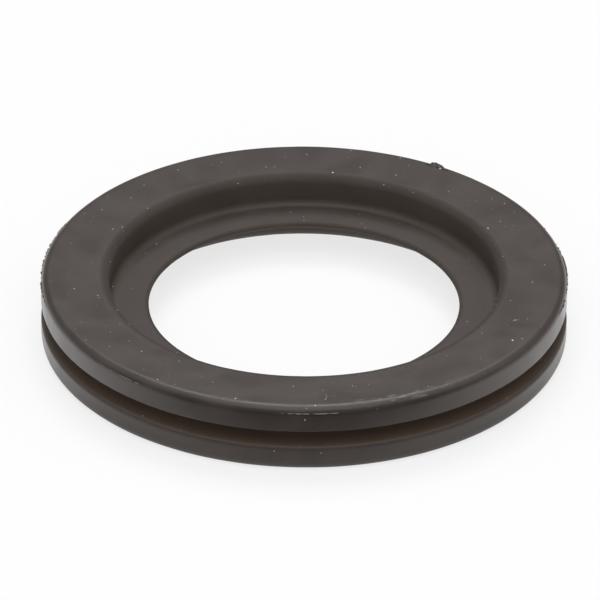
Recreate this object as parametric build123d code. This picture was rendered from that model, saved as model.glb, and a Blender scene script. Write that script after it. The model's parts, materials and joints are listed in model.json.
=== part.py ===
from build123d import *
import math
import os

# Membrane bushing: one moulded rubber ring that snaps into a round hole in a sheet.
# The ring stands on its lower flange, with its axis on Z and the underside at z = 0.

# Sizes of the sheet that the ring is made to fit, in millimetres
panel_hole_diameter = 40.0
panel_thickness = 1.5
panel_clearance = 0.1

# Driving sizes of the ring
overall_height = 6.5
flange_reach = 4.0
hub_wall = 2.25
web_thickness = 0.55
web_hole_diameter = 28.3

# Roundings of the moulded edges
rim_radius = 0.8
upper_lip_radius = 0.06
lower_lip_radius = 0.3
groove_floor_radius = 0.25
mouth_radius = 0.8
foot_radius = 0.6
hole_edge_radius = 0.2

# The raised line round the upper rim where the halves of the mould met
parting_line_drop = 0.57
parting_line_proud = 0.09
parting_line_width = 0.16

# The torn nib of rubber left on the parting line
nib_angle = 59.0
nib_length = 1.5
nib_proud = 0.36
nib_height = 0.34
nib_depth = 0.6

# Places worked out from the sizes above
outer_radius = panel_hole_diameter / 2 + flange_reach
groove_radius = panel_hole_diameter / 2
groove_width = panel_thickness + panel_clearance
recess_radius = groove_radius - hub_wall
hole_radius = web_hole_diameter / 2
middle_height = overall_height / 2
parting_height = overall_height - parting_line_drop
parting_rise = math.sqrt(rim_radius**2 - (rim_radius - parting_line_drop) ** 2)
parting_radius = outer_radius - rim_radius + parting_rise

# How close a corner has to be to the place where it is looked for
corner_tolerance = 0.01


def block(inner_radius, outer_radius, middle, height):
    """A rectangle of the section, with the radius along X and the height along Y."""
    width = outer_radius - inner_radius
    return Pos((inner_radius + outer_radius) / 2, middle) * Rectangle(width, height)


def rounded(section, radius, heights, rounding):
    """The section with its corners at one radius and at these heights rounded."""
    corners = [
        corner
        for corner in section.vertices()
        if abs(corner.X - radius) < corner_tolerance
        and min(abs(corner.Y - height) for height in heights) < corner_tolerance
    ]
    return fillet(corners, rounding)


def ring_section():
    """Half of the ring cut through its axis: two flanges, the hub and the thin web."""
    ends = (0, overall_height)
    groove_bottom = middle_height - groove_width / 2
    groove_top = middle_height + groove_width / 2
    groove_sides = (groove_bottom, groove_top)
    web_faces = (middle_height - web_thickness / 2, middle_height + web_thickness / 2)
    section = block(recess_radius, outer_radius, middle_height, overall_height)
    section -= block(groove_radius, outer_radius, middle_height, groove_width)
    section += block(hole_radius, recess_radius, middle_height, web_thickness)
    section = rounded(section, outer_radius, ends, rim_radius)
    section = rounded(section, outer_radius, [groove_top], upper_lip_radius)
    section = rounded(section, outer_radius, [groove_bottom], lower_lip_radius)
    section = rounded(section, groove_radius, groove_sides, groove_floor_radius)
    section = rounded(section, recess_radius, ends, mouth_radius)
    section = rounded(section, recess_radius, web_faces, foot_radius)
    return rounded(section, hole_radius, web_faces, min(hole_edge_radius, web_thickness * 0.45))


def parting_section():
    """The low peaked ridge of the parting line, sunk into the rounding of the rim."""
    foot = parting_radius - parting_line_proud
    crest = parting_radius + parting_line_proud
    ridge = Polyline(
        (foot, parting_height - parting_line_width / 2),
        (crest, parting_height),
        (foot, parting_height + parting_line_width / 2),
        close=True,
    )
    return make_face(ridge)


def torn_nib():
    """The nib: a small ragged wedge that leans out from the rim, higher at one end."""
    outline = Polyline(
        (-nib_depth, -nib_length / 2),
        (0, -nib_length / 2),
        (nib_proud / 2, -nib_length / 6),
        (nib_proud, nib_length / 4),
        (nib_proud / 3, nib_length / 2),
        (-nib_depth, nib_length / 2),
        close=True,
    )
    wedge = extrude(make_face(outline), nib_height)
    seat = Pos(parting_radius, 0, parting_height - parting_line_width / 2)
    return Rot(0, 0, nib_angle) * seat * wedge


def bushing():
    """The whole ring, as it leaves the mould."""
    ring = revolve(Plane.XZ * ring_section(), Axis.Z)
    ridge = revolve(Plane.XZ * parting_section(), Axis.Z)
    return ring + ridge + torn_nib()


os.makedirs("parts", exist_ok=True)
ring = bushing()
ring.label = "membrane_bushing"
export_step(ring, "parts/membrane_bushing.step")
print("outer diameter", round(2 * outer_radius, 2), "height", overall_height)
print("volume in cubic millimetres", round(ring.volume, 1))
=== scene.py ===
# %% [markdown]
# # A moulded membrane bushing
#
# A membrane bushing is a rubber ring that snaps into a round hole in a sheet. Its two flanges hold the
# sheet between them, and a thin web across the middle closes round the tube that is pushed through its
# hole. The whole thing is one moulding, so nearly all of its shape is one outline turned round an axis.
# We build that outline with Geometry Nodes, add the parting line and the torn nib that the mould left,
# give it a dark rubber finish, and light it the way such a small part is photographed: on white paper,
# under soft lamps.

# %% Load the fixed frame
import json
import math

import bmesh
import bpy
from mathutils import Matrix, Vector, noise


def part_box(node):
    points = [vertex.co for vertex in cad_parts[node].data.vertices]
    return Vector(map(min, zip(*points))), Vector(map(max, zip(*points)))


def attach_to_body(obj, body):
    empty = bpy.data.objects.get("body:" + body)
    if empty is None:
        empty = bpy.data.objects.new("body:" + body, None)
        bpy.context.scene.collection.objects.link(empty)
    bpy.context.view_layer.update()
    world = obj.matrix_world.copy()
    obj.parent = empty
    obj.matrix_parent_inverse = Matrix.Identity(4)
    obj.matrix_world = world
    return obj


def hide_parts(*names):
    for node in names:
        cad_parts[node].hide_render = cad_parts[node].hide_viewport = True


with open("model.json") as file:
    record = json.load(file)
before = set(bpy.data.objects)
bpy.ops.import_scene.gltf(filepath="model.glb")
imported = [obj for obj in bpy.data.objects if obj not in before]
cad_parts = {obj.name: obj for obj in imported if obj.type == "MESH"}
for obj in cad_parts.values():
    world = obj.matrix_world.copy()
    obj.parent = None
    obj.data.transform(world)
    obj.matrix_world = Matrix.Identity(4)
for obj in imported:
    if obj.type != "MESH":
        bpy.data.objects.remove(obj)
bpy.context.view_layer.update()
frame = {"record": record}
ring_low, ring_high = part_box("membrane_bushing")
print("the ring spans", [round(size, 5) for size in ring_high - ring_low], "m")

# %% [markdown]
# ## Sizes
#
# Blender works in metres here, so a millimetre gets a name of its own. What fits another part, such as
# the groove and the hole in the web, is read from the record that comes with the frame, and so it always
# agrees with the CAD. The roundings aren't stated there. They are real sizes, written once, in
# millimetres.

# %% Sizes of the moulding
MM = 0.001
mounts = {mount["name"]: mount for mount in frame["record"]["mounts"]}

rim_rounding = 0.8 * MM
upper_lip_rounding = 0.06 * MM
lower_lip_rounding = 0.3 * MM
groove_floor_rounding = 0.25 * MM
mouth_rounding = 0.8 * MM
foot_rounding = 0.6 * MM
hole_edge_rounding = 0.25 * MM
hub_wall = 2.25 * MM
flange_reach = 4.0 * MM

height = ring_high.z - ring_low.z
groove_radius = mounts["panel_groove"]["dims"]["r_mm"] * MM
groove_width = mounts["panel_groove"]["dims"]["length_mm"] * MM
hole_radius = mounts["web_hole"]["dims"]["r_mm"] * MM
web_thickness = mounts["web_hole"]["dims"]["length_mm"] * MM
outer_radius = groove_radius + flange_reach
recess_radius = groove_radius - hub_wall
mouth_radius = recess_radius + mouth_rounding
print("outer diameter", round(2 * outer_radius / MM, 2), "mm, height", round(height / MM, 2), "mm")

# %% [markdown]
# ## The camera
#
# The photograph was taken from far away with a long lens, because the near and far edges of the ring are
# almost the same size. The camera looks down by about 30 degrees, and the picture leans by a third of a
# degree. Setting it first means that every later look at the scene is the photograph's own view. We build
# its matrix from three directions, which keeps the lean exact and leaves the lens shift at zero.

# %% The camera
camera_pitch = math.radians(30.40)
camera_lean = math.radians(-0.33)
camera_distance = 857.4 * MM
aim_offset_right = -0.37 * MM
aim_offset_up = 3.12 * MM
field_of_view = math.radians(3.664)


def make_camera():
    """Place the camera by its viewing direction and by where it aims past the origin."""
    right = Vector((1, 0, 0))
    forward = Vector((0, math.cos(camera_pitch), -math.sin(camera_pitch)))
    up = right.cross(forward)
    place = aim_offset_right * right + aim_offset_up * up - camera_distance * forward
    leaned_right = math.cos(camera_lean) * right - math.sin(camera_lean) * up
    leaned_up = math.sin(camera_lean) * right + math.cos(camera_lean) * up
    turn = Matrix((leaned_right, leaned_up, -forward)).transposed().to_4x4()
    camera = bpy.data.objects.new("camera", bpy.data.cameras.new("camera"))
    camera.data.sensor_fit = "HORIZONTAL"
    camera.data.angle = field_of_view
    camera.matrix_world = Matrix.Translation(place) @ turn
    bpy.context.scene.collection.objects.link(camera)
    bpy.context.scene.camera = camera
    return camera


camera = make_camera()
print("the camera stands", round(camera.location.length, 3), "m away")

# %% [markdown]
# ## Helpers for node trees
#
# A node tree written out by hand is mostly the same three lines again and again: add a node, set its
# options, fill its inputs. One helper does all three. An input may be a plain value or the output of
# another node, and then the helper draws the link. The others are short names for the sums that come up
# most. They serve materials and geometry alike.

# %% Helpers for node trees
def add_node(tree, kind, inputs=None, **options):
    """Add a node, set its options, and fill its inputs with values or with other nodes' outputs."""
    made = tree.nodes.new(kind)
    for name, value in options.items():
        setattr(made, name, value)
    for key, value in (inputs or {}).items():
        if isinstance(value, bpy.types.NodeSocket):
            tree.links.new(value, made.inputs[key])
        else:
            made.inputs[key].default_value = value
    return made


def maths(tree, operation, *values):
    """One sum on numbers."""
    return add_node(tree, "ShaderNodeMath", dict(enumerate(values)), operation=operation).outputs[0]


def vector_maths(tree, operation, *values, result=0):
    """One sum on vectors."""
    made = add_node(tree, "ShaderNodeVectorMath", dict(enumerate(values)), operation=operation)
    return made.outputs[result]


def between(tree, value, low, high, to_low=0.0, to_high=1.0):
    """Map a range onto another one, and hold it at both ends."""
    inputs = {0: value, 1: low, 2: high, 3: to_low, 4: to_high}
    return add_node(tree, "ShaderNodeMapRange", inputs, clamp=True).outputs[0]


def all_of(tree, *amounts):
    """The product of several amounts between nought and one."""
    total = amounts[0]
    for amount in amounts[1:]:
        total = maths(tree, "MULTIPLY", total, amount)
    return total


print("five helpers for node trees are ready")

# %% [markdown]
# ## Finding a place on the ring
#
# A point of a round part is best described by its angle, its radius and its height. The light painted into
# the groove and the marks on the rim are all limited by these three numbers. They come from Object
# coordinates, so a mark stays where it is, whichever way the part is looked at. What limits a mark is called
# a mask: one inside it, nought outside.

# %% Angle, radius and height
def ring_places(tree, place):
    """The angle, radius and height of a place, the three numbers that a round part is described by."""
    split = add_node(tree, "ShaderNodeSeparateXYZ", {0: place}).outputs
    around = maths(tree, "ARCTAN2", split[1], split[0])
    flat = vector_maths(tree, "MULTIPLY", place, (1, 1, 0))
    radius = vector_maths(tree, "LENGTH", flat, result=1)
    return around, radius, split[2]


def stretch_of(tree, around, start, end, margin):
    """A stretch between two angles, which fades in and out over a margin."""
    starts = between(tree, around, start - margin, start)
    ends = between(tree, around, end, end + margin, 1.0, 0.0)
    return maths(tree, "MULTIPLY", starts, ends)


def noise_at(tree, place, feature_size, detail):
    """Noise whose spots are about this large, read at a place in metres."""
    inputs = {"Vector": place, "Scale": 1 / feature_size, "Detail": detail}
    return add_node(tree, "ShaderNodeTexNoise", inputs).outputs["Fac"]


print("the rim is", round(math.tau * outer_radius / MM, 1), "mm round")

# %% [markdown]
# ## Marks on the rim
#
# Handling has rubbed the front of the rim pale, in short streaks that run along it. Streaks are a noise that
# is stretched: its coordinates are unrolled from the ring, and one unit along is far longer than one unit
# across. Beside the torn nib, the shade of small pits is painted into the colour as near-black spots, which
# is a fine noise cut off sharply.

# %% Rubbed streaks and painted pit shade
rubbed_from, rubbed_to, rubbed_margin = math.radians(-78), math.radians(-55), math.radians(4)
rubbed_reach = 1.3 * MM
rubbed_lower_edge = 0.25 * MM
rubbed_fade = 1.4
streak_length = 1.3 * MM
streak_width = 0.10 * MM
streak_detail = 3.0
streak_low, streak_high = 0.58, 0.66
# The stretch, size and sharpness of the painted pit shade beside the nib.
torn_from, torn_to, torn_margin = math.radians(55.2), math.radians(60.8), math.radians(0.8)
torn_reach = 1.2 * MM
torn_pit_size = 0.13 * MM
torn_pit_detail = 1.0
torn_pit_low, torn_pit_high = 0.52, 0.58
fade_share = 0.8


def outer_edge(tree, radius, reach):
    """The outermost part of the ring, which reaches this far in."""
    return between(tree, radius, outer_radius - reach, outer_radius - fade_share * reach)


def rubbed_mask(tree, around, radius, level):
    """Where the front of the rim is rubbed: pale streaks along its upper edge."""
    stretch = stretch_of(tree, around, rubbed_from, rubbed_to, rubbed_margin)
    outer = outer_edge(tree, radius, rubbed_reach)
    upper = between(tree, level, height - rubbed_fade * rubbed_lower_edge, height - rubbed_lower_edge)
    along = maths(tree, "MULTIPLY", around, outer_radius / streak_length)
    outwards = maths(tree, "DIVIDE", radius, streak_width)
    upwards = maths(tree, "DIVIDE", level, streak_width)
    unrolled = add_node(tree, "ShaderNodeCombineXYZ", {0: along, 1: outwards, 2: upwards}).outputs[0]
    streaks = between(tree, noise_at(tree, unrolled, 1.0, streak_detail), streak_low, streak_high)
    return all_of(tree, stretch, outer, upper, streaks)


def painted_pit_shade_mask(tree, place, around, radius, level):
    """Painted shade: near-black spots for the pits beside the nib, where the rubber tore."""
    stretch = stretch_of(tree, around, torn_from, torn_to, torn_margin)
    outer = outer_edge(tree, radius, torn_reach)
    upper = between(tree, level, height - rim_rounding, height - fade_share * rim_rounding)
    pits = between(tree, noise_at(tree, place, torn_pit_size, torn_pit_detail), torn_pit_low, torn_pit_high)
    return all_of(tree, stretch, outer, upper, pits)


print("streaks are", round(streak_length / streak_width), "times as long as they are wide")

# %% [markdown]
# ## Dust and dull roundings
#
# A pale brown is painted deep in the groove, and thinly in the corner of the upper recess. It is painted
# light: it brightens places that the lamps hardly reach, and it is strongest where the shade is deepest. On
# this black part that painted light is nearly the only colour there is. The inside of the recess and three
# of the roundings have a duller skin than the flat faces: the mouth of the recess, the lower lip of the
# groove and the edge of the hole. Otherwise a bright line would run along each of them, and the photograph
# shows none.

# %% Painted fill light and dull roundings
# Painted fill light: how far and how strongly the pale brown reaches into the shaded groove and recess
# corner.
painted_light_margin = 0.15 * MM
recess_painted_light_share = 0.10
recess_painted_light_reach = 1.3 * MM
recess_painted_light_top_share = 0.3
groove_painted_light_depth = 2.5 * MM
groove_lip_painted_light_share = 0.3
recess_dullness = 0.15
recess_dullness_fade = 0.3 * MM
lip_dullness = 0.25
lip_margin = 0.2 * MM
groove_bottom = (height - groove_width) / 2
groove_top = (height + groove_width) / 2


def painted_fill_light_mask(tree, radius, level):
    """Where light is painted in: thick deep in the groove, and thin in the corner of the upper recess, where
    shade falls.
    """
    lip = outer_radius - painted_light_margin
    hub_from, hub_to = recess_radius + painted_light_margin, recess_radius + 2 * painted_light_margin
    deep = between(tree, radius, lip - groove_painted_light_depth, lip, 1.0, groove_lip_painted_light_share)
    behind = between(tree, radius, lip, outer_radius, 1.0, 0.0)
    outside = between(tree, radius, hub_from, hub_to)
    above = between(tree, level, groove_bottom - painted_light_margin, groove_bottom)
    below = between(tree, level, groove_top, groove_top + painted_light_margin, 1.0, 0.0)
    groove = all_of(tree, deep, behind, outside, above, below)
    corner = between(tree, radius, recess_radius - recess_painted_light_reach, recess_radius, 0.0, recess_painted_light_share)
    inside = between(tree, radius, hub_from, hub_to, 1.0, 0.0)
    low = between(tree, level, groove_top, height - mouth_rounding, 1.0, recess_painted_light_top_share)
    return maths(tree, "ADD", groove, all_of(tree, corner, inside, low))


def lip_mask(tree, radius, level):
    """The roundings at the mouth of the recess, at the lower side of the groove and round the hole."""
    mouth_starts = between(tree, radius, recess_radius - lip_margin, recess_radius)
    mouth_ends = between(tree, radius, mouth_radius, mouth_radius + lip_margin, 1.0, 0.0)
    mouth = maths(tree, "MULTIPLY", mouth_starts, mouth_ends)
    lip, lip_foot = outer_radius - lower_lip_rounding, groove_bottom - lower_lip_rounding
    lip_starts = between(tree, radius, lip - lip_margin, lip)
    above = between(tree, level, lip_foot - lip_margin, lip_foot)
    below = between(tree, level, groove_bottom, groove_bottom + lip_margin, 1.0, 0.0)
    lower_lip = all_of(tree, lip_starts, above, below)
    hole_edge = hole_radius + hole_edge_rounding
    hole_side = between(tree, radius, hole_edge, hole_edge + lip_margin, 1.0, 0.0)
    return maths(tree, "ADD", maths(tree, "ADD", mouth, lower_lip), hole_side)


def dullness(tree, radius, level):
    """How much rougher than the flat faces the skin is: in the upper recess, and on three roundings."""
    fade_from = mouth_radius - recess_dullness_fade
    recess = between(tree, radius, fade_from, mouth_radius, recess_dullness, 0.0)
    upper = between(tree, level, height / 2 - web_thickness, height / 2)
    lips = maths(tree, "MULTIPLY", lip_mask(tree, radius, level), lip_dullness)
    return maths(tree, "ADD", maths(tree, "MULTIPLY", recess, upper), lips)


# The painted fill light reaches this far in from the lip of the groove.
print("the dust reaches", round(groove_painted_light_depth / MM, 1), "mm in from the lip of the groove")

# %% [markdown]
# ## The rubber
#
# Black rubber is nearly black paint under a dull skin. What looks grey on its top face is mostly the pale
# surroundings, mirrored softly at a low angle. So the base colour is very dark and slightly brown, and the
# roughness does the rest. Further layers keep it from looking like plastic: broad uneven patches where the
# skin of the mould was more or less polished, the painted fill light in the groove and the recess corner,
# the marks from above, among them the painted shade of pits, and a fine grain as bump.

# %% The rubber
rubber_dark = (0.0355, 0.0258, 0.0210, 1)
rubber_light = (0.0465, 0.0350, 0.0295, 1)
# Painted fill light: a pale brown that brightens the shaded groove and recess corner.
painted_fill_light_colour = (0.240, 0.175, 0.127, 1)
rubbed_colour = (0.170, 0.158, 0.150, 1)
# Painted shade: the near-black that stands in for the shade inside the pits beside the nib.
painted_pit_shade_colour = (0.004, 0.003, 0.003, 1)
rubber_mirror_index = 1.5
patch_size = 3.4 * MM
patch_detail = 5.0
patch_low, patch_high = 0.36, 0.64
smooth_patch_roughness = 0.38
dull_patch_roughness = 0.46
ripple_size = 1.3 * MM
ripple_detail = 2.0
ripple_depth = 0.010 * MM
grain_size = 0.16 * MM
grain_detail = 3.0
grain_depth = 0.006 * MM


def mix_colours(tree, amount, first, second):
    """Blend two colours. The Mix node keeps its colours at inputs 6 and 7 and at output 2."""
    made = add_node(tree, "ShaderNodeMix", {"Factor": amount}, data_type="RGBA")
    for socket, value in zip((made.inputs[6], made.inputs[7]), (first, second)):
        if isinstance(value, bpy.types.NodeSocket):
            tree.links.new(value, socket)
        else:
            socket.default_value = value
    return made.outputs[2]


def bump(tree, relief, depth, base=None):
    """Raise the shading by a relief of this real depth."""
    inputs = {"Height": relief, "Distance": depth, "Strength": 1.0}
    if base is not None:
        inputs["Normal"] = base
    return add_node(tree, "ShaderNodeBump", inputs).outputs[0]


def rubber_material():
    """Dark moulded rubber, for the ring and everything that was moulded with it."""
    material = bpy.data.materials.new("moulded_rubber_skin")
    material.use_nodes = True
    tree = material.node_tree
    shader = tree.nodes["Principled BSDF"]
    place = tree.nodes.new("ShaderNodeTexCoord").outputs["Object"]
    around, radius, level = ring_places(tree, place)
    patches = between(tree, noise_at(tree, place, patch_size, patch_detail), patch_low, patch_high)
    # The pits' mask paints their shade into the colour and makes them fully matt.
    torn = painted_pit_shade_mask(tree, place, around, radius, level)
    colour = mix_colours(tree, patches, rubber_dark, rubber_light)
    # Painted fill light: the pale brown is mixed in deep in the groove and by the recess wall, where shade
    # falls.
    colour = mix_colours(tree, painted_fill_light_mask(tree, radius, level), colour, painted_fill_light_colour)
    colour = mix_colours(tree, rubbed_mask(tree, around, radius, level), colour, rubbed_colour)
    # Painted shade: near-black spots beside the nib stand in for the shade of pits.
    colour = mix_colours(tree, torn, colour, painted_pit_shade_colour)
    tree.links.new(colour, shader.inputs["Base Color"])
    roughness = between(tree, patches, 0.0, 1.0, smooth_patch_roughness, dull_patch_roughness)
    roughness = maths(tree, "ADD", roughness, dullness(tree, radius, level))
    tree.links.new(maths(tree, "MAXIMUM", roughness, torn), shader.inputs["Roughness"])
    ripple = bump(tree, noise_at(tree, place, ripple_size, ripple_detail), ripple_depth)
    grain = bump(tree, noise_at(tree, place, grain_size, grain_detail), grain_depth, ripple)
    tree.links.new(grain, shader.inputs["Normal"])
    shader.inputs["IOR"].default_value = rubber_mirror_index
    return material


rubber = rubber_material()
print("rubber made of", len(rubber.node_tree.nodes), "nodes")

# %% [markdown]
# ## The ring
#
# The ring is the main piece, and its shape follows one rule: a closed outline, turned round the Z axis.
# It could be made with the Spin tool or a Screw modifier. Geometry Nodes are chosen because the outline
# can then be built from named sizes too: twelve sharp corners, each with its own rounding, which Fillet
# Curve turns into arcs.
#
# Geometry Nodes have no lathe, so here is one. The sweep is a flat grid. Its columns become angles, and
# its rows become the points of the outline. The parting line uses it a second time.

# %% Turning an outline round the axis
merge_distance = 0.001 * MM


def turned(tree, outline, steps):
    """Turn a closed outline, drawn with radius along X and height along Y, into a round body."""
    size = add_node(tree, "GeometryNodeAttributeDomainSize", {0: outline}, component="CURVE")
    points = size.outputs["Point Count"]
    rows = maths(tree, "ADD", points, 1)
    columns = maths(tree, "ADD", steps, 1)
    sizes = {"Size X": 1, "Size Y": 1, "Vertices X": columns, "Vertices Y": rows}
    grid = add_node(tree, "GeometryNodeMeshGrid", sizes)
    across = add_node(tree, "ShaderNodeSeparateXYZ", {0: grid.outputs["UV Map"]}).outputs
    angle = maths(tree, "MULTIPLY", across[0], math.tau)
    row = maths(tree, "ROUND", maths(tree, "MULTIPLY", across[1], points))
    row = maths(tree, "MODULO", row, points)
    where = tree.nodes.new("GeometryNodeInputPosition").outputs[0]
    inputs = {"Geometry": outline, "Value": where, "Index": row}
    point = add_node(tree, "GeometryNodeSampleIndex", inputs, data_type="FLOAT_VECTOR").outputs[0]
    radius, level, _ = add_node(tree, "ShaderNodeSeparateXYZ", {0: point}).outputs
    x = maths(tree, "MULTIPLY", radius, maths(tree, "COSINE", angle))
    y = maths(tree, "MULTIPLY", radius, maths(tree, "SINE", angle))
    target = add_node(tree, "ShaderNodeCombineXYZ", {0: x, 1: y, 2: level}).outputs[0]
    inputs = {"Geometry": grid.outputs["Mesh"], "Position": target}
    bent = add_node(tree, "GeometryNodeSetPosition", inputs).outputs[0]
    closed = add_node(tree, "GeometryNodeMergeByDistance", {"Geometry": bent, "Distance": merge_distance})
    return add_node(tree, "GeometryNodeSetShadeSmooth", {"Geometry": closed.outputs[0]}).outputs[0]


print("points closer than", round(merge_distance / MM, 3), "mm are welded at the seam")

# %% [markdown]
# An outline starts as a plain chain of points. Each point then picks its own radius and height from two
# lists, by its number in the chain. Its long straight stretches are cut up finely afterwards, because
# long smooth-shaded faces beside a tight rounding would pick up its shading and look swollen.

# %% Drawing an outline
def pick(tree, index, choices):
    """The number that stands at this index in a list of sockets or values."""
    switch = tree.nodes.new("GeometryNodeIndexSwitch")
    switch.data_type = "FLOAT"
    while len(switch.index_switch_items) < len(choices):
        switch.index_switch_items.new()
    tree.links.new(index, switch.inputs[0])
    for place, choice in enumerate(choices, start=1):
        if isinstance(choice, bpy.types.NodeSocket):
            tree.links.new(choice, switch.inputs[place])
        else:
            switch.inputs[place].default_value = choice
    return switch.outputs[0]


def outline_through(tree, corners):
    """A closed outline through corners, each with its radius and height first."""
    index = tree.nodes.new("GeometryNodeInputIndex").outputs[0]
    line = add_node(tree, "GeometryNodeMeshLine", {"Count": len(corners)}).outputs[0]
    curve = add_node(tree, "GeometryNodeMeshToCurve", {0: line}).outputs[0]
    inputs = {"Geometry": curve, "Cyclic": True}
    curve = add_node(tree, "GeometryNodeSetSplineCyclic", inputs).outputs[0]
    radius = pick(tree, index, [corner[0] for corner in corners])
    level = pick(tree, index, [corner[1] for corner in corners])
    place = add_node(tree, "ShaderNodeCombineXYZ", {0: radius, 1: level}).outputs[0]
    return add_node(tree, "GeometryNodeSetPosition", {"Geometry": curve, "Position": place}).outputs[0]


def cut_straights(tree, curve, longest):
    """Cut up the straight stretches of an outline, and leave its arcs alone."""
    here = tree.nodes.new("GeometryNodeInputPosition").outputs[0]
    follow = add_node(tree, "GeometryNodeOffsetPointInCurve", {"Offset": 1}).outputs["Point Index"]
    inputs = {"Index": follow, "Value": here}
    there = add_node(tree, "GeometryNodeFieldAtIndex", inputs, data_type="FLOAT_VECTOR", domain="POINT")
    gap = vector_maths(tree, "DISTANCE", here, there.outputs[0], result=1)
    cuts = maths(tree, "FLOOR", maths(tree, "DIVIDE", gap, longest))
    return add_node(tree, "GeometryNodeSubdivideCurve", {"Curve": curve, "Cuts": cuts}).outputs[0]


print("an outline can be drawn from its corners")

# %% [markdown]
# Every tree starts and ends alike: named inputs at one end, real geometry with its material at the other.
# A soft moulding is never quite true either, so a tree can move its skin a few hundredths of a millimetre
# where a slow noise says so.

# %% What every geometry tree shares
slow_noise_detail = 2.0


def new_tree(name, inputs):
    """A geometry tree with named inputs, and its input and output nodes."""
    tree = bpy.data.node_groups.new(name, "GeometryNodeTree")
    kinds = {
        float: "NodeSocketFloat", int: "NodeSocketInt",
        bpy.types.Material: "NodeSocketMaterial", bpy.types.Object: "NodeSocketObject",
    }
    for title, kind in inputs.items():
        tree.interface.new_socket(title, in_out="INPUT", socket_type=kinds[kind])
    tree.interface.new_socket("Geometry", in_out="OUTPUT", socket_type="NodeSocketGeometry")
    given = tree.nodes.new("NodeGroupInput")
    return tree, given.outputs, tree.nodes.new("NodeGroupOutput")


def noise_in_tree(tree, place, feature_size):
    """Slow noise whose spots are as large as an input of the tree says."""
    scale = maths(tree, "DIVIDE", 1.0, feature_size)
    inputs = {"Vector": place, "Scale": scale, "Detail": slow_noise_detail}
    return add_node(tree, "ShaderNodeTexNoise", inputs).outputs["Fac"]


def moved(tree, mesh, direction, distance):
    """Move a mesh's points along a direction, each by its own distance."""
    shift = add_node(tree, "ShaderNodeVectorMath", {0: direction, "Scale": distance}, operation="SCALE")
    inputs = {"Geometry": mesh, "Offset": shift.outputs[0]}
    return add_node(tree, "GeometryNodeSetPosition", inputs).outputs[0]


def finish_tree(tree, outcome, mesh, material):
    """End a tree with real geometry and its material, which the export needs."""
    real = add_node(tree, "GeometryNodeRealizeInstances", {"Geometry": mesh}).outputs[0]
    dressed = add_node(tree, "GeometryNodeSetMaterial", {"Geometry": real, "Material": material})
    tree.links.new(dressed.outputs[0], outcome.inputs[0])


print("a tree now starts with named inputs and ends in real geometry")

# %% [markdown]
# The tree below holds the ring itself. Its section runs from the lower recess out to the rim, in and out
# of the groove, over the top face and down to the thin web with its hole. Its last step draws the skin in
# where the noise is high. It only goes inwards: the ring stays inside the size that the CAD gives it.

# %% The ring's tree
ring_inputs = {
    "Outer radius": float, "Height": float, "Groove radius": float, "Groove width": float,
    "Recess radius": float, "Web thickness": float, "Hole radius": float, "Rim rounding": float,
    "Upper lip rounding": float, "Lower lip rounding": float, "Groove floor rounding": float,
    "Mouth rounding": float, "Foot rounding": float, "Hole edge rounding": float,
    "Arc steps": int, "Steps around": int, "Longest straight": float,
    "Unevenness": float, "Unevenness size": float, "Material": bpy.types.Material,
}


def above_and_below(tree, middle, width):
    """The two heights that lie half a width above and below the middle, the lower one first."""
    half = maths(tree, "MULTIPLY", width, 0.5)
    return maths(tree, "SUBTRACT", middle, half), maths(tree, "ADD", middle, half)


def ring_corners(tree, given):
    """The corners of the ring's section, each with its radius, its height and its rounding."""
    middle = maths(tree, "MULTIPLY", given["Height"], 0.5)
    bottom_side, top_side = above_and_below(tree, middle, given["Groove width"])
    web_bottom, web_top = above_and_below(tree, middle, given["Web thickness"])
    outer, recess, top = given["Outer radius"], given["Recess radius"], given["Height"]
    groove, hole = given["Groove radius"], given["Hole radius"]
    rim, mouth, foot = given["Rim rounding"], given["Mouth rounding"], given["Foot rounding"]
    upper_lip, lower_lip = given["Upper lip rounding"], given["Lower lip rounding"]
    edge, floor = given["Hole edge rounding"], given["Groove floor rounding"]
    return [
        (recess, 0.0, mouth), (outer, 0.0, rim), (outer, bottom_side, lower_lip),
        (groove, bottom_side, floor), (groove, top_side, floor), (outer, top_side, upper_lip),
        (outer, top, rim), (recess, top, mouth), (recess, web_top, foot),
        (hole, web_top, edge), (hole, web_bottom, edge), (recess, web_bottom, foot),
    ]


def ring_tree():
    """The ring: its outline from named sizes, turned and made slightly uneven."""
    tree, given, outcome = new_tree("moulded_ring", ring_inputs)
    corners = ring_corners(tree, given)
    curve = outline_through(tree, corners)
    index = tree.nodes.new("GeometryNodeInputIndex").outputs[0]
    rounding = pick(tree, index, [corner[2] for corner in corners])
    inputs = {"Curve": curve, "Count": given["Arc steps"], "Radius": rounding}
    curve = add_node(tree, "GeometryNodeFilletCurve", inputs, mode="POLY").outputs[0]
    curve = cut_straights(tree, curve, given["Longest straight"])
    mesh = turned(tree, curve, given["Steps around"])
    place = tree.nodes.new("GeometryNodeInputPosition").outputs[0]
    wander = noise_in_tree(tree, place, given["Unevenness size"])
    depth = maths(tree, "MULTIPLY", wander, maths(tree, "MULTIPLY", given["Unevenness"], -1.0))
    outwards = tree.nodes.new("GeometryNodeInputNormal").outputs[0]
    mesh = moved(tree, mesh, outwards, depth)
    finish_tree(tree, outcome, mesh, given["Material"])
    return tree


print("the ring's tree has", len(ring_inputs), "named inputs")

# %% [markdown]
# Growing a piece is then one call, with every size by its name. The tree runs as a modifier on an empty
# mesh. Its result is kept as a plain mesh and the modifier goes, because everything later works on
# finished pieces. A turned mesh can end up inside out, which no picture shows but every later tool minds,
# so its faces are turned outwards and its open edges are counted: a closed body has none.

# %% Growing and keeping a piece
def dress(mesh, material):
    """Give a mesh one material and no empty slot."""
    mesh.materials.clear()
    mesh.materials.append(material)
    mesh.polygons.foreach_set("material_index", [0] * len(mesh.polygons))


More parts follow.
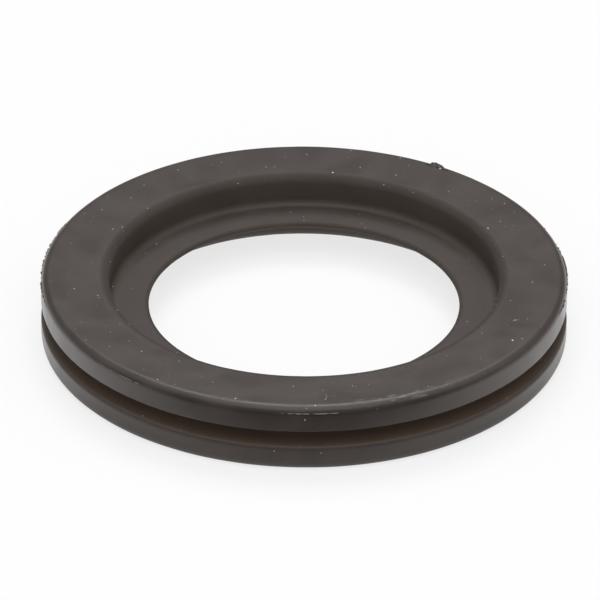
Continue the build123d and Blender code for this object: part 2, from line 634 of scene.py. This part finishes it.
def grow(name, tree, settings):
    """Run a tree on an empty mesh and keep the result as a plain mesh at the origin."""
    holder = bpy.data.objects.new(name, bpy.data.meshes.new(name + "_seed"))
    bpy.context.scene.collection.objects.link(holder)
    modifier = holder.modifiers.new(name, "NODES")
    modifier.node_group = tree
    for item in tree.interface.items_tree:
        if item.in_out == "INPUT":
            modifier[item.identifier] = settings[item.name]
    depsgraph = bpy.context.evaluated_depsgraph_get()
    mesh = bpy.data.meshes.new_from_object(holder.evaluated_get(depsgraph), depsgraph=depsgraph)
    mesh.name = name
    holder.modifiers.remove(modifier)
    holder.data = mesh
    dress(mesh, settings["Material"])
    return holder


def face_outwards(mesh):
    """Turn every face of a closed mesh to point out of it."""
    work = bmesh.new()
    work.from_mesh(mesh)
    bmesh.ops.recalc_face_normals(work, faces=work.faces)
    open_edges = sum(1 for edge in work.edges if not edge.is_manifold)
    work.to_mesh(mesh)
    work.free()
    print(mesh.name, "has", open_edges, "open edges")


def attach(piece, *replaced):
    """Let a finished piece ride on the ring's only body, and hide the CAD parts that it replaces."""
    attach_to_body(piece, "root")
    if replaced:
        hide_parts(*replaced)
    piece.data.calc_loop_triangles()
    print(piece.name, "has", len(piece.data.loop_triangles), "triangles")


print("a piece is grown, turned outwards and attached")

# %% [markdown]
# The ring takes the place of the plain CAD solid, which stays in the frame as its hidden twin. Its outer
# edge is the line that the eye follows in the picture, so it gets enough steps to look round there.

# %% Grow the ring
arc_steps = 9
steps_around = 300
longest_straight = 0.22 * MM
unevenness = 0.045 * MM
unevenness_size = 3.5 * MM

ring = grow("ring", ring_tree(), {
    "Outer radius": outer_radius, "Height": height, "Groove radius": groove_radius,
    "Groove width": groove_width, "Recess radius": recess_radius, "Web thickness": web_thickness,
    "Hole radius": hole_radius, "Rim rounding": rim_rounding,
    "Upper lip rounding": upper_lip_rounding, "Lower lip rounding": lower_lip_rounding,
    "Groove floor rounding": groove_floor_rounding, "Mouth rounding": mouth_rounding,
    "Foot rounding": foot_rounding, "Hole edge rounding": hole_edge_rounding,
    "Arc steps": arc_steps, "Steps around": steps_around, "Longest straight": longest_straight,
    "Unevenness": unevenness, "Unevenness size": unevenness_size, "Material": rubber,
})
face_outwards(ring.data)
attach(ring, "membrane_bushing")

# %% [markdown]
# ## The parting line
#
# Where the two halves of the mould met, a thin line of rubber crept between them. It runs round the upper
# rim, low on its rounding. It is a second use of the turning tree: a small pointed outline, turned in
# many steps. Its crest is then pulled back by two noises, so that in places it sinks into the rim and
# vanishes, and it is worn low in a few long stretches, as on the real ring. Flat shading makes its small
# facets catch the light.

# %% The parting line
parting_line_proud = 0.09 * MM
parting_line_drop = 0.57 * MM
parting_line_width = 0.16 * MM
parting_steps = 1440
ragged_size = 0.5 * MM
gap_size = 5.0 * MM
gone_below, whole_above = 0.78, 1.08
crest_fall = 2.0
worn_stretches = [(-165, -143), (-122, -98), (-71, -16)]
worn_margin = math.radians(4)
worn_share = 0.75
parting_height = height - parting_line_drop
parting_rise = math.sqrt(rim_rounding**2 - (rim_rounding - parting_line_drop) ** 2)
parting_radius = outer_radius - rim_rounding + parting_rise
parting_inputs = {
    "Radius": float, "Level": float, "Proud": float, "Width": float, "Sunk": float,
    "Steps around": int, "Ragged size": float, "Gap size": float, "Material": bpy.types.Material,
}


def still_standing(tree, around):
    """How much of the line is left: all of it, apart from the stretches where it has worn down."""
    left = 1.0
    for start, end in worn_stretches:
        stretch = stretch_of(tree, around, math.radians(start), math.radians(end), worn_margin)
        worn = maths(tree, "MULTIPLY", stretch, worn_share)
        left = maths(tree, "MULTIPLY", left, maths(tree, "SUBTRACT", 1.0, worn))
    return left


def parting_tree():
    """The parting line: a pointed outline turned round, with its crest torn down by two noises."""
    tree, given, outcome = new_tree("parting_line", parting_inputs)
    foot = maths(tree, "SUBTRACT", given["Radius"], given["Sunk"])
    crest = maths(tree, "ADD", given["Radius"], given["Proud"])
    low, high = above_and_below(tree, given["Level"], given["Width"])
    curve = outline_through(tree, [(foot, low), (crest, given["Level"]), (foot, high)])
    mesh = turned(tree, curve, given["Steps around"])
    place = tree.nodes.new("GeometryNodeInputPosition").outputs[0]
    around, radius, _ = ring_places(tree, place)
    ragged = noise_in_tree(tree, place, given["Ragged size"])
    gaps = noise_in_tree(tree, place, given["Gap size"])
    height_left = between(tree, maths(tree, "ADD", ragged, gaps), gone_below, whole_above)
    height_left = maths(tree, "MULTIPLY", height_left, still_standing(tree, around))
    fallen = maths(tree, "SUBTRACT", height_left, 1.0)
    is_crest = maths(tree, "GREATER_THAN", radius, given["Radius"])
    drop = all_of(tree, is_crest, fallen, maths(tree, "MULTIPLY", given["Proud"], crest_fall))
    flat = vector_maths(tree, "MULTIPLY", place, (1, 1, 0))
    mesh = moved(tree, mesh, vector_maths(tree, "NORMALIZE", flat), drop)
    finish_tree(tree, outcome, mesh, given["Material"])
    return tree


parting_line = grow("parting_line", parting_tree(), {
    "Radius": parting_radius, "Level": parting_height, "Proud": parting_line_proud,
    "Width": parting_line_width, "Sunk": 2 * parting_line_proud, "Steps around": parting_steps,
    "Ragged size": ragged_size, "Gap size": gap_size, "Material": rubber,
})
face_outwards(parting_line.data)
parting_line.data.shade_flat()
attach(parting_line)

# %% [markdown]
# ## The torn nib
#
# At the back right the flash was pulled off by hand and left a torn nib. It is too irregular for a rule,
# so it is made the way such a scrap is modelled by hand: a small outline, which stands out further at one
# end, is pulled up into a block, cut finely, and then roughened by moving every corner a little. Flat
# shading keeps its torn facets sharp.
#
# The noise that moves the corners has no fixed seed, and Blender then takes one from the clock. So each
# run tears the nib a little differently, by up to about 0.15 mm. A call of noise.seed_set with a fixed
# number, before the corners are moved, would make it the same in every run.

# %% The torn nib
nib_angle = math.radians(59.0)
nib_length = 1.5 * MM
nib_proud = 0.36 * MM
nib_height = 0.34 * MM
nib_depth = 0.6 * MM
nib_cuts = 3
nib_roughness = 0.11 * MM
nib_lump_size = 0.17 * MM


def keep_mesh(work, name, material):
    """Turn a finished bmesh into an object at the origin."""
    mesh = bpy.data.meshes.new(name)
    work.to_mesh(mesh)
    work.free()
    dress(mesh, material)
    piece = bpy.data.objects.new(name, mesh)
    bpy.context.scene.collection.objects.link(piece)
    return piece


def torn_nib():
    """A ragged block that leans out of the rim on the parting line."""
    outline = [
        (-nib_depth, -nib_length / 2), (0, -nib_length / 2), (nib_proud / 2, -nib_length / 6),
        (nib_proud, nib_length / 4), (nib_proud / 3, nib_length / 2), (-nib_depth, nib_length / 2),
    ]
    work = bmesh.new()
    floor_corners = [work.verts.new((x, y, 0)) for x, y in outline]
    base = work.faces.new(floor_corners)
    raised = bmesh.ops.extrude_face_region(work, geom=[base])["geom"]
    top_corners = [item for item in raised if isinstance(item, bmesh.types.BMVert)]
    bmesh.ops.translate(work, verts=top_corners, vec=(0, 0, nib_height))
    bmesh.ops.triangulate(work, faces=work.faces)
    bmesh.ops.subdivide_edges(work, edges=work.edges, cuts=nib_cuts, use_grid_fill=True)
    for corner in work.verts:
        corner.co += nib_roughness * noise.noise_vector(corner.co / nib_lump_size)
    bmesh.ops.recalc_face_normals(work, faces=work.faces)
    seat = Vector((parting_radius, 0, parting_height - parting_line_width / 2))
    work.transform(Matrix.Rotation(nib_angle, 4, "Z") @ Matrix.Translation(seat))
    return keep_mesh(work, "torn_nib", rubber)


attach(torn_nib())

# %% [markdown]
# ## Dust
#
# Rubber draws dust, and on a black part every speck shows. Two kinds are laid down: fine dust by a rule, and
# the larger specks one by one. Both share one finish, matt and pale. A slow noise makes some specks far
# darker than others, because real dust is fluff, sand and skin, and not all of one colour.

# %% The dust's finish
speck_colour = (0.75, 0.71, 0.66)
speck_roughness = 0.8
speck_shade_size = 0.8 * MM
speck_shade_detail = 1.0
speck_shade_low, speck_shade_high = 0.35, 0.65
darkest_speck = 0.35


def dust_material():
    """Pale matt dust, a little uneven from speck to speck."""
    material = bpy.data.materials.new("settled_dust")
    material.use_nodes = True
    tree = material.node_tree
    shader = tree.nodes["Principled BSDF"]
    place = tree.nodes.new("ShaderNodeTexCoord").outputs["Object"]
    spots = noise_at(tree, place, speck_shade_size, speck_shade_detail)
    shade = between(tree, spots, speck_shade_low, speck_shade_high, darkest_speck, 1.0)
    colour = vector_maths(tree, "MULTIPLY", speck_colour, shade)
    tree.links.new(colour, shader.inputs["Base Color"])
    shader.inputs["Roughness"].default_value = speck_roughness
    return material


dust = dust_material()
print("dust made of", len(dust.node_tree.nodes), "nodes")

# %% [markdown]
# Fine dust lies wherever a face looks up, so it is a Geometry Nodes scatter with a fixed seed. Each speck
# is a twenty-sided crumb, because it is repeated hundreds of times, and is pressed flat on what it lies
# on. Its size is a random share raised to the third power, so that most specks are tiny and a few are
# not. Nothing may stand above the top face, so every crumb is cut off level with it.

# %% Fine dust
specks_a_square_metre = 300000.0
least_upward_lean = 0.5
smallest_crumb = 0.014 * MM
largest_crumb = 0.065 * MM
crumb_flatness = 0.4
crumb_rarity = 3.0
dust_seed = 7
dust_inputs = {
    "Ring": bpy.types.Object, "Specks a square metre": float, "Least upward lean": float,
    "Smallest": float, "Largest": float, "Flatness": float, "Highest": float, "Seed": int,
    "Material": bpy.types.Material,
}


def crumb_scale(tree, given):
    """A random size for each crumb, most of them small, and all of them flat."""
    chance = add_node(tree, "FunctionNodeRandomValue", {"Seed": given["Seed"]}, data_type="FLOAT").outputs[1]
    rare = maths(tree, "POWER", chance, crumb_rarity)
    size = between(tree, rare, 0.0, 1.0, given["Smallest"], given["Largest"])
    thick = maths(tree, "MULTIPLY", size, given["Flatness"])
    return add_node(tree, "ShaderNodeCombineXYZ", {0: size, 1: size, 2: thick}).outputs[0]


def held_under(tree, mesh, highest):
    """Bring every point that stands too high down to the highest level."""
    place = tree.nodes.new("GeometryNodeInputPosition").outputs[0]
    split = add_node(tree, "ShaderNodeSeparateXYZ", {0: place}).outputs
    level = maths(tree, "MINIMUM", split[2], highest)
    held = add_node(tree, "ShaderNodeCombineXYZ", {0: split[0], 1: split[1], 2: level}).outputs[0]
    return add_node(tree, "GeometryNodeSetPosition", {"Geometry": mesh, "Position": held}).outputs[0]


def dust_tree():
    """Crumbs of many sizes, most of them small, on the faces that look up."""
    tree, given, outcome = new_tree("fine_dust", dust_inputs)
    target = add_node(tree, "GeometryNodeObjectInfo", {"Object": given["Ring"]}).outputs["Geometry"]
    outwards = tree.nodes.new("GeometryNodeInputNormal").outputs[0]
    lean = add_node(tree, "ShaderNodeSeparateXYZ", {0: outwards}).outputs[2]
    upward = maths(tree, "GREATER_THAN", lean, given["Least upward lean"])
    inputs = {"Mesh": target, "Selection": upward, "Density": given["Specks a square metre"]}
    inputs["Seed"] = given["Seed"]
    points = add_node(tree, "GeometryNodeDistributePointsOnFaces", inputs).outputs
    crumb = add_node(tree, "GeometryNodeMeshIcoSphere", {"Radius": 1.0, "Subdivisions": 1}).outputs[0]
    inputs = {"Points": points["Points"], "Instance": crumb, "Rotation": points["Rotation"]}
    inputs["Scale"] = crumb_scale(tree, given)
    crumbs = add_node(tree, "GeometryNodeInstanceOnPoints", inputs).outputs[0]
    crumbs = add_node(tree, "GeometryNodeRealizeInstances", {"Geometry": crumbs}).outputs[0]
    crumbs = held_under(tree, crumbs, given["Highest"])
    finish_tree(tree, outcome, crumbs, given["Material"])
    return tree


fine_dust = grow("fine_dust", dust_tree(), {
    "Ring": ring, "Specks a square metre": specks_a_square_metre, "Least upward lean": least_upward_lean,
    "Smallest": smallest_crumb, "Largest": largest_crumb, "Flatness": crumb_flatness, "Highest": height,
    "Seed": dust_seed, "Material": dust,
})
attach(fine_dust)

# %% [markdown]
# The larger specks lie where the photograph shows them, each at its angle and radius on the ring. Angles
# run from the right of the photograph towards the back, so the front of the ring is at minus ninety
# degrees. There is one short hair too, at the front of the top face. It is a thin bent tube of three
# sides.

# %% A speck and a hair
speck_flatness = 0.5
hair_angle = -84.8
hair_radius = 21.9 * MM
hair_length = 0.75 * MM
hair_thickness = 0.018 * MM
hair_bends = 8
hair_sides = 3
hair_sway = 0.06 * MM
hair_sway_turn = 4


def on_ring(angle, radius, level):
    """A place on the ring from its angle in degrees, with radius and height in metres."""
    turn = math.radians(angle)
    return Vector((radius * math.cos(turn), radius * math.sin(turn), level))


def speck(work, place, size, lying):
    """Add one crumb, flattened where it lies on a level face."""
    scale = Vector((size, size, size * (speck_flatness if lying else 1.0)))
    seat = Matrix.Translation(place) @ Matrix.Diagonal(scale).to_4x4()
    bmesh.ops.create_icosphere(work, subdivisions=1, radius=1.0, matrix=seat)


def hair_ring(work, centre):
    """Add the corners of one cross-section of the hair."""
    corners = []
    for side in range(hair_sides):
        turn = side * math.tau / hair_sides
        offset = Vector((math.cos(turn), 0, math.sin(turn))) * hair_thickness
        corners.append(work.verts.new(centre + offset))
    return corners


def hair(work):
    """Add a short bent fibre that lies on the top face, as a row of thin segments."""
    middle = on_ring(hair_angle, hair_radius, height)
    rings = []
    for step in range(hair_bends + 1):
        share = step / hair_bends
        sway = hair_sway * math.sin(hair_sway_turn * share)
        centre = middle + Vector((sway, (share - 0.5) * hair_length, -hair_thickness))
        rings.append(hair_ring(work, centre))
    for first, second in zip(rings, rings[1:]):
        for side in range(hair_sides):
            after = (side + 1) % hair_sides
            work.faces.new((first[side], first[after], second[after], second[side]))
    work.faces.new(rings[0])
    work.faces.new(reversed(rings[-1]))


print("the hair is", round(hair_length / MM, 2), "mm long")

# %% [markdown]
# Each row below is an angle in degrees, then a radius in millimetres, or a height for the specks on the
# side, and then one of two sizes. All of them and the hair become one piece.

# %% Larger specks
big_speck = 0.10 * MM
small_speck = 0.060 * MM
top_specks = [
    (133, 21.8, small_speck), (154, 18.6, small_speck), (122, 22.2, small_speck), (100.5, 19.8, small_speck),
    (89.5, 21.9, small_speck), (35, 22.5, small_speck), (30.4, 22.4, small_speck), (28, 20.4, small_speck),
    (26.3, 18.8, big_speck), (-23.4, 20.8, big_speck), (-23.0, 21.0, small_speck),
    (-24.0, 20.7, small_speck), (-32.2, 22.2, big_speck), (-135.8, 20.3, small_speck),
    (-125.2, 19.4, small_speck),
    (-124.4, 23.1, small_speck), (-112.6, 21.1, small_speck), (-105.2, 23.1, big_speck),
    (-4, 20.8, small_speck), (-148, 23.1, small_speck), (-153.3, 23.0, small_speck), (57, 23.1, big_speck),
    (67.4, 23.1, small_speck), (-61.0, 22.9, small_speck), (-60.3, 23.1, small_speck), (82, 18.7, big_speck),
]
web_specks = [(72.4, 16.7, small_speck), (149.7, 16.9, small_speck)]
side_specks = [(-89.7, 5.33, small_speck), (-96.2, 2.0, small_speck), (-86.2, 1.87, small_speck)]
web_top_height = (height + web_thickness) / 2


def larger_specks():
    """Every listed speck, and the hair, as one piece that stays under the top of the ring."""
    work = bmesh.new()
    for angle, radius, size in top_specks:
        speck(work, on_ring(angle, radius * MM, height), size, True)
    for angle, radius, size in web_specks:
        speck(work, on_ring(angle, radius * MM, web_top_height), size, True)
    for angle, level, size in side_specks:
        speck(work, on_ring(angle, outer_radius, level * MM), size, False)
    hair(work)
    for corner in work.verts:
        corner.co.z = min(corner.co.z, height)
    bmesh.ops.recalc_face_normals(work, faces=work.faces)
    return keep_mesh(work, "larger_specks", dust)


attach(larger_specks())

# %% [markdown]
# ## The paper floor
#
# Almost everything that a black part shows is a reflection, so the surroundings matter as much as the
# rubber. The floor is white paper, and the rubber mirrors it low on its sides. Close to the ring and
# behind it the paper is bright. In front, where the camera stands, it is dark, and that is why the near
# flange is almost black.
#
# A material can tell what kind of ray has met it. The camera sees an even white sheet, with the soft
# shadow of the ring. A mirrored ray, or one that shines through something, sees the paper glow by
# different amounts from place to place. Every other ray sees matt paper without the glow, and it is
# darker in front and far away.

# %% What the camera sees of the paper
paper_colour = (0.82, 0.82, 0.82)
seen_white_share = 0.75


def is_ray(tree, *kinds):
    """One where the ray is of any of these kinds, and nought elsewhere."""
    rays = tree.nodes.new("ShaderNodeLightPath").outputs
    total = rays[kinds[0]]
    for kind in kinds[1:]:
        total = maths(tree, "ADD", total, rays[kind])
    return maths(tree, "MINIMUM", total, 1.0)


def seen_paper(tree):
    """The paper as the camera sees it: white, with a faint shadow."""
    matt = add_node(tree, "ShaderNodeBsdfDiffuse", {"Color": (*paper_colour, 1)}).outputs[0]
    white = add_node(tree, "ShaderNodeEmission", {"Strength": 1.0}).outputs[0]
    return add_node(tree, "ShaderNodeMixShader", {0: seen_white_share, 1: matt, 2: white}).outputs[0]


print("the camera sees paper that is", seen_white_share, "plain white")

# %% [markdown]
# The glow has four parts: one near the ring, one behind it, one at its two sides, and one inside the
# ring. The wall of the lower recess mirrors that last one, and shows it as a pale band at the back of the
# hole. There the paper is brightest. In front of the ring the glow fades out.

# %% What the rubber mirrors of the paper
paper_bright_radius = 30 * MM
paper_dim_radius = 70 * MM
paper_dim_share = 0.45
paper_front_from = -24 * MM
paper_front_to = -33 * MM
paper_front_share = 0.12
near_glow = 0.39
near_glow_radius = 28 * MM
near_glow_reach = 45 * MM
inner_glow = 0.60
inner_glow_from = 14.5 * MM
inner_glow_to = 16.0 * MM
inner_glow_fade = 1.0 * MM
back_glow = 0.50
back_glow_from = -10 * MM
back_glow_to = 20 * MM
side_glow = 0.42
side_glow_from = 20 * MM
side_glow_to = 27 * MM


def paper_glow(tree, radius, across, depth):
    """How bright the mirrored paper is, over and above the light that falls on it."""
    near = between(tree, radius, near_glow_radius, near_glow_reach, near_glow, 0.0)
    side = between(tree, maths(tree, "ABSOLUTE", across), side_glow_from, side_glow_to, 0.0, side_glow)
    not_front = between(tree, depth, paper_front_to, paper_front_from)
    beside = all_of(tree, maths(tree, "ADD", near, side), not_front)
    back = between(tree, depth, back_glow_from, back_glow_to, 0.0, back_glow)
    inner = between(tree, radius, inner_glow_from, inner_glow_to, 0.0, inner_glow)
    under_ring = between(tree, radius, recess_radius, recess_radius + inner_glow_fade, 1.0, 0.0)
    return maths(tree, "ADD", maths(tree, "ADD", beside, back), all_of(tree, inner, under_ring))


def mirrored_paper(tree):
    """The paper as the rubber sees it: bright round the ring and behind it, and dark in front."""
    place = tree.nodes.new("ShaderNodeTexCoord").outputs["Object"]
    _, radius, _ = ring_places(tree, place)
    across, depth, _ = add_node(tree, "ShaderNodeSeparateXYZ", {0: place}).outputs
    spread = between(tree, radius, paper_bright_radius, paper_dim_radius, 1.0, paper_dim_share)
    front = between(tree, depth, paper_front_to, paper_front_from, paper_front_share, 1.0)
    colour = vector_maths(tree, "MULTIPLY", paper_colour, all_of(tree, spread, front))
    matt = add_node(tree, "ShaderNodeBsdfDiffuse", {"Color": colour}).outputs[0]
    mirrored = is_ray(tree, "Is Glossy Ray", "Is Transmission Ray")
    strength = all_of(tree, paper_glow(tree, radius, across, depth), mirrored)
    glow = add_node(tree, "ShaderNodeEmission", {"Strength": strength}).outputs[0]
    return add_node(tree, "ShaderNodeAddShader", {0: matt, 1: glow}).outputs[0]


print("near the ring the mirrored paper glows by", near_glow)

# %% [markdown]
# The two looks are mixed by Is Camera Ray. The glow counts only for mirrored rays, and the sheet is never
# sampled as a lamp, so it lights nothing by itself. The sheet is six metres wide. Only a camera that is
# almost level with it looks past its edge, into the dim room.

# %% The floor
floor_reach = 3.0


def floor_material():
    """White paper that the camera and the rubber see in different ways."""
    material = bpy.data.materials.new("white_paper")
    material.use_nodes = True
    tree = material.node_tree
    tree.nodes.clear()
    is_seen = is_ray(tree, "Is Camera Ray")
    inputs = {0: is_seen, 1: mirrored_paper(tree), 2: seen_paper(tree)}
    mixed = add_node(tree, "ShaderNodeMixShader", inputs).outputs[0]
    out = tree.nodes.new("ShaderNodeOutputMaterial")
    tree.links.new(mixed, out.inputs["Surface"])
    material.cycles.emission_sampling = "NONE"
    return material


def make_floor():
    """A large flat floor at the ring's underside."""
    mesh = bpy.data.meshes.new("floor")
    signs = ((-1, -1), (1, -1), (1, 1), (-1, 1))
    corners = [(x * floor_reach, y * floor_reach, ring_low.z) for x, y in signs]
    mesh.from_pydata(corners, [], [(0, 1, 2, 3)])
    mesh.materials.append(floor_material())
    floor = bpy.data.objects.new("floor", mesh)
    bpy.context.scene.collection.objects.link(floor)


make_floor()
print("the floor is", 2 * floor_reach, "m wide")

# %% [markdown]
# ## Lamps and room
#
# Two soft lamps hang overhead, a strong one behind and a weaker one in front. They give the top face and the
# web their sheen, and leave the walls of the recess and the near side dark. Two dim ones at the sides lift
# the rim, and a low one in front, which the rubber doesn't mirror, lights the groove and the fill light
# painted into it.
#
# A lamp is described by what the ring sees of it: where it stands, how wide it looks and how bright its
# front is. A disc with a front of brightness one gives pi watts for each square metre, so its power
# follows from its size.
#
# The room itself is dim. A lighter room would be mirrored low on the top face and not down in the recess,
# and the web would look too dark. What the camera sees behind the ring is all paper.

# %% Lamps and room
world_light = 0.22
lamp_distance = 1.6
lamps = {
    "back_lamp": {"around": 90, "above": 62, "half_width": 17, "brightness": 5.2},
    "front_lamp": {"around": -90, "above": 68, "half_width": 25, "brightness": 1.8},
    "right_lamp": {"around": 0, "above": 45, "half_width": 26, "brightness": 0.75},
    "left_lamp": {"around": 180, "above": 45, "half_width": 26, "brightness": 0.65},
    "fill_lamp": {"around": -90, "above": 18, "half_width": 30, "brightness": 1.0, "mirrored": False},
}


def soft_lamp(name, around, above, half_width, brightness, mirrored=True):
    """A round soft lamp, given by where the ring sees it, how wide it looks and how bright its front is."""
    turn, rise = math.radians(around), math.radians(above)
    level = math.cos(rise)
    direction = Vector((level * math.cos(turn), level * math.sin(turn), math.sin(rise)))
    lamp = bpy.data.lights.new(name, "AREA")
    lamp.shape = "DISK"
    lamp.size = 2 * lamp_distance * math.tan(math.radians(half_width))
    lamp.energy = brightness * math.pi * math.pi * (lamp.size / 2) ** 2
    holder = bpy.data.objects.new(name, lamp)
    holder.location = lamp_distance * direction
    holder.rotation_euler = direction.to_track_quat("Z", "Y").to_euler()
    holder.visible_camera = False
    holder.visible_glossy = mirrored
    bpy.context.scene.collection.objects.link(holder)
    print(name, "is", round(lamp.size, 2), "m across with", round(lamp.energy, 1), "W")


def make_world():
    """An even, dim room all round."""
    world = bpy.data.worlds.new("dim_room")
    world.use_nodes = True
    bpy.context.scene.world = world
    background = world.node_tree.nodes["Background"]
    background.inputs["Color"].default_value = (1, 1, 1, 1)
    background.inputs["Strength"].default_value = world_light


for name, setting in lamps.items():
    soft_lamp(name, **setting)
make_world()
bpy.context.scene.view_settings.view_transform = "Standard"
print(len(lamps), "lamps and a room of strength", world_light)
